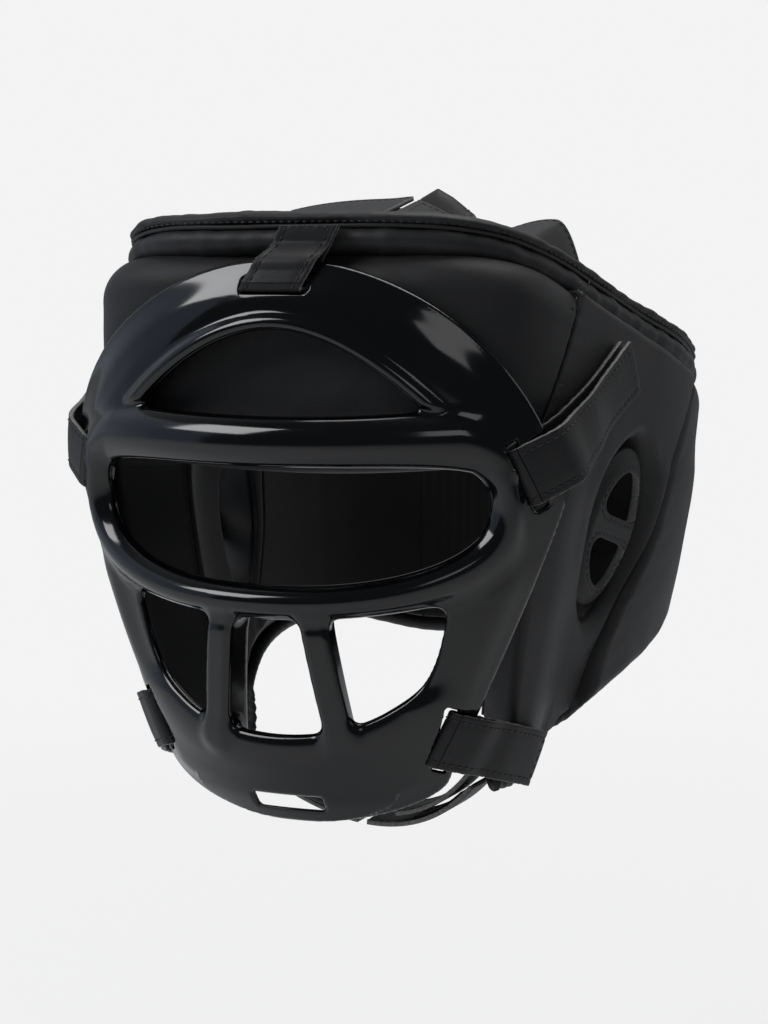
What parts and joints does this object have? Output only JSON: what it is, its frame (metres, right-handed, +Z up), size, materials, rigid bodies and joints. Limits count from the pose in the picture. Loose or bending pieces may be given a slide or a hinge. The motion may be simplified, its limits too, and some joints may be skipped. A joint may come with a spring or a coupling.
{
  "type": "boxing headgear with face cage",
  "caption": "Padded black boxing headgear with a glossy moulded full-face cage that hangs on hook-and-loop straps and lifts at the brow.",
  "frame": {"origin": "Centre of the wearer's head, midway between the ears and level with them, where the head sits in the padding.", "axes": "+Z up along the head, -Y out of the face, +X to the right of someone who faces the wearer."},
  "size_m": [0.2548, 0.3033, 0.2839],
  "materials": {
    "pu_leather": "matte grained synthetic leather",
    "strap_leather": "matte synthetic leather, stitched edges",
    "binding_leather": "satin synthetic leather roll",
    "lining_cloth": "matte woven lining",
    "foam": "closed-cell foam",
    "hook_and_loop": "hook-and-loop tape",
    "moulded_plastic": "glossy moulded plastic"
  },
  "bodies": {
    "shell": {"forehead_cover": "pu_leather", "forehead_foam": "foam", "forehead_lining": "lining_cloth", "side_cover_left": "pu_leather", "side_cover_right": "pu_leather", "side_foam_left": "foam", "side_foam_right": "foam", "side_lining_left": "lining_cloth", "side_lining_right": "lining_cloth", "rear_cover_left": "pu_leather", "rear_cover_right": "pu_leather", "rear_foam_left": "foam", "rear_foam_right": "foam", "rear_lining_left": "lining_cloth", "rear_lining_right": "lining_cloth", "ear_panel_left": "pu_leather", "ear_panel_right": "pu_leather", "rim_lower_roll": "binding_leather", "rim_upper_roll": "binding_leather", "hem_binding_left": "binding_leather", "hem_binding_right": "binding_leather", "crown_tongue": "pu_leather", "crown_strap_left": "strap_leather", "crown_loop_tape": "hook_and_loop", "crown_strap_right": "strap_leather", "back_gusset": "lining_cloth", "back_loop_field": "hook_and_loop", "back_strap": "strap_leather", "chin_strap_left": "strap_leather", "chin_strap_right": "strap_leather", "chin_pad": "pu_leather", "temple_left_patch": "hook_and_loop", "temple_right_patch": "hook_and_loop", "jaw_left_patch": "hook_and_loop", "jaw_right_patch": "hook_and_loop"},
    "cage": {"face_cage": "moulded_plastic", "top_strap": "strap_leather", "temple_left_strap": "strap_leather", "temple_right_strap": "strap_leather", "jaw_left_strap": "strap_leather", "jaw_right_strap": "strap_leather"},
    "top_tab": {"top_flap": "strap_leather", "top_hook": "hook_and_loop"},
    "temple_left_tab": {"temple_left_flap": "strap_leather", "temple_left_hook": "hook_and_loop"},
    "temple_right_tab": {"temple_right_flap": "strap_leather", "temple_right_hook": "hook_and_loop"},
    "jaw_left_tab": {"jaw_left_flap": "strap_leather", "jaw_left_hook": "hook_and_loop"},
    "jaw_right_tab": {"jaw_right_flap": "strap_leather", "jaw_right_hook": "hook_and_loop"},
    "crown_tab": {"crown_flap": "strap_leather", "crown_flap_hook": "hook_and_loop"},
    "back_tab": {"back_flap": "strap_leather", "back_flap_hook": "hook_and_loop"},
    "chin_tab": {"chin_flap": "strap_leather", "chin_flap_hook": "hook_and_loop"}
  },
  "joints": [
    {"name": "cage_lift", "type": "hinge", "parent": "shell", "child": "cage", "pos_m": [0.012, -0.1183, 0.1347], "axis": [-1, 0, 0], "range_deg": [0, 95]},
    {"name": "top_flap_open", "type": "hinge", "parent": "cage", "child": "top_tab", "pos_m": [0, -0.13361, 0.11], "axis": [1, 0, 0], "range_deg": [0, 120]},
    {"name": "temple_right_flap_open", "type": "hinge", "parent": "cage", "child": "temple_right_tab", "pos_m": [0.10458, -0.10926, 0.032], "axis": [0.3218, 0.3816, -0.8665], "range_deg": [0, 120]},
    {"name": "temple_left_flap_open", "type": "hinge", "parent": "cage", "child": "temple_left_tab", "pos_m": [-0.10458, -0.10926, 0.032], "axis": [0.3218, -0.3816, 0.8665], "range_deg": [0, 120]},
    {"name": "jaw_right_flap_open", "type": "hinge", "parent": "cage", "child": "jaw_right_tab", "pos_m": [0.06941, -0.11008, -0.081], "axis": [-0.4423, -0.0288, -0.8964], "range_deg": [0, 120]},
    {"name": "jaw_left_flap_open", "type": "hinge", "parent": "cage", "child": "jaw_left_tab", "pos_m": [-0.06941, -0.11008, -0.081], "axis": [-0.4423, 0.0288, 0.8964], "range_deg": [0, 120]},
    {"name": "crown_flap_open", "type": "hinge", "parent": "shell", "child": "crown_tab", "pos_m": [-0.0037, 0.008, 0.1447], "axis": [0, 0.9766, 0.2149], "range_deg": [0, 100]},
    {"name": "back_flap_open", "type": "hinge", "parent": "shell", "child": "back_tab", "pos_m": [0.03846, 0.15255, -0.047], "axis": [0, 0, -1], "range_deg": [0, 110]},
    {"name": "chin_flap_open", "type": "hinge", "parent": "shell", "child": "chin_tab", "pos_m": [0.01835, -0.06683, -0.12693], "axis": [0, 1, 0], "range_deg": [0, 100]}
  ]
}
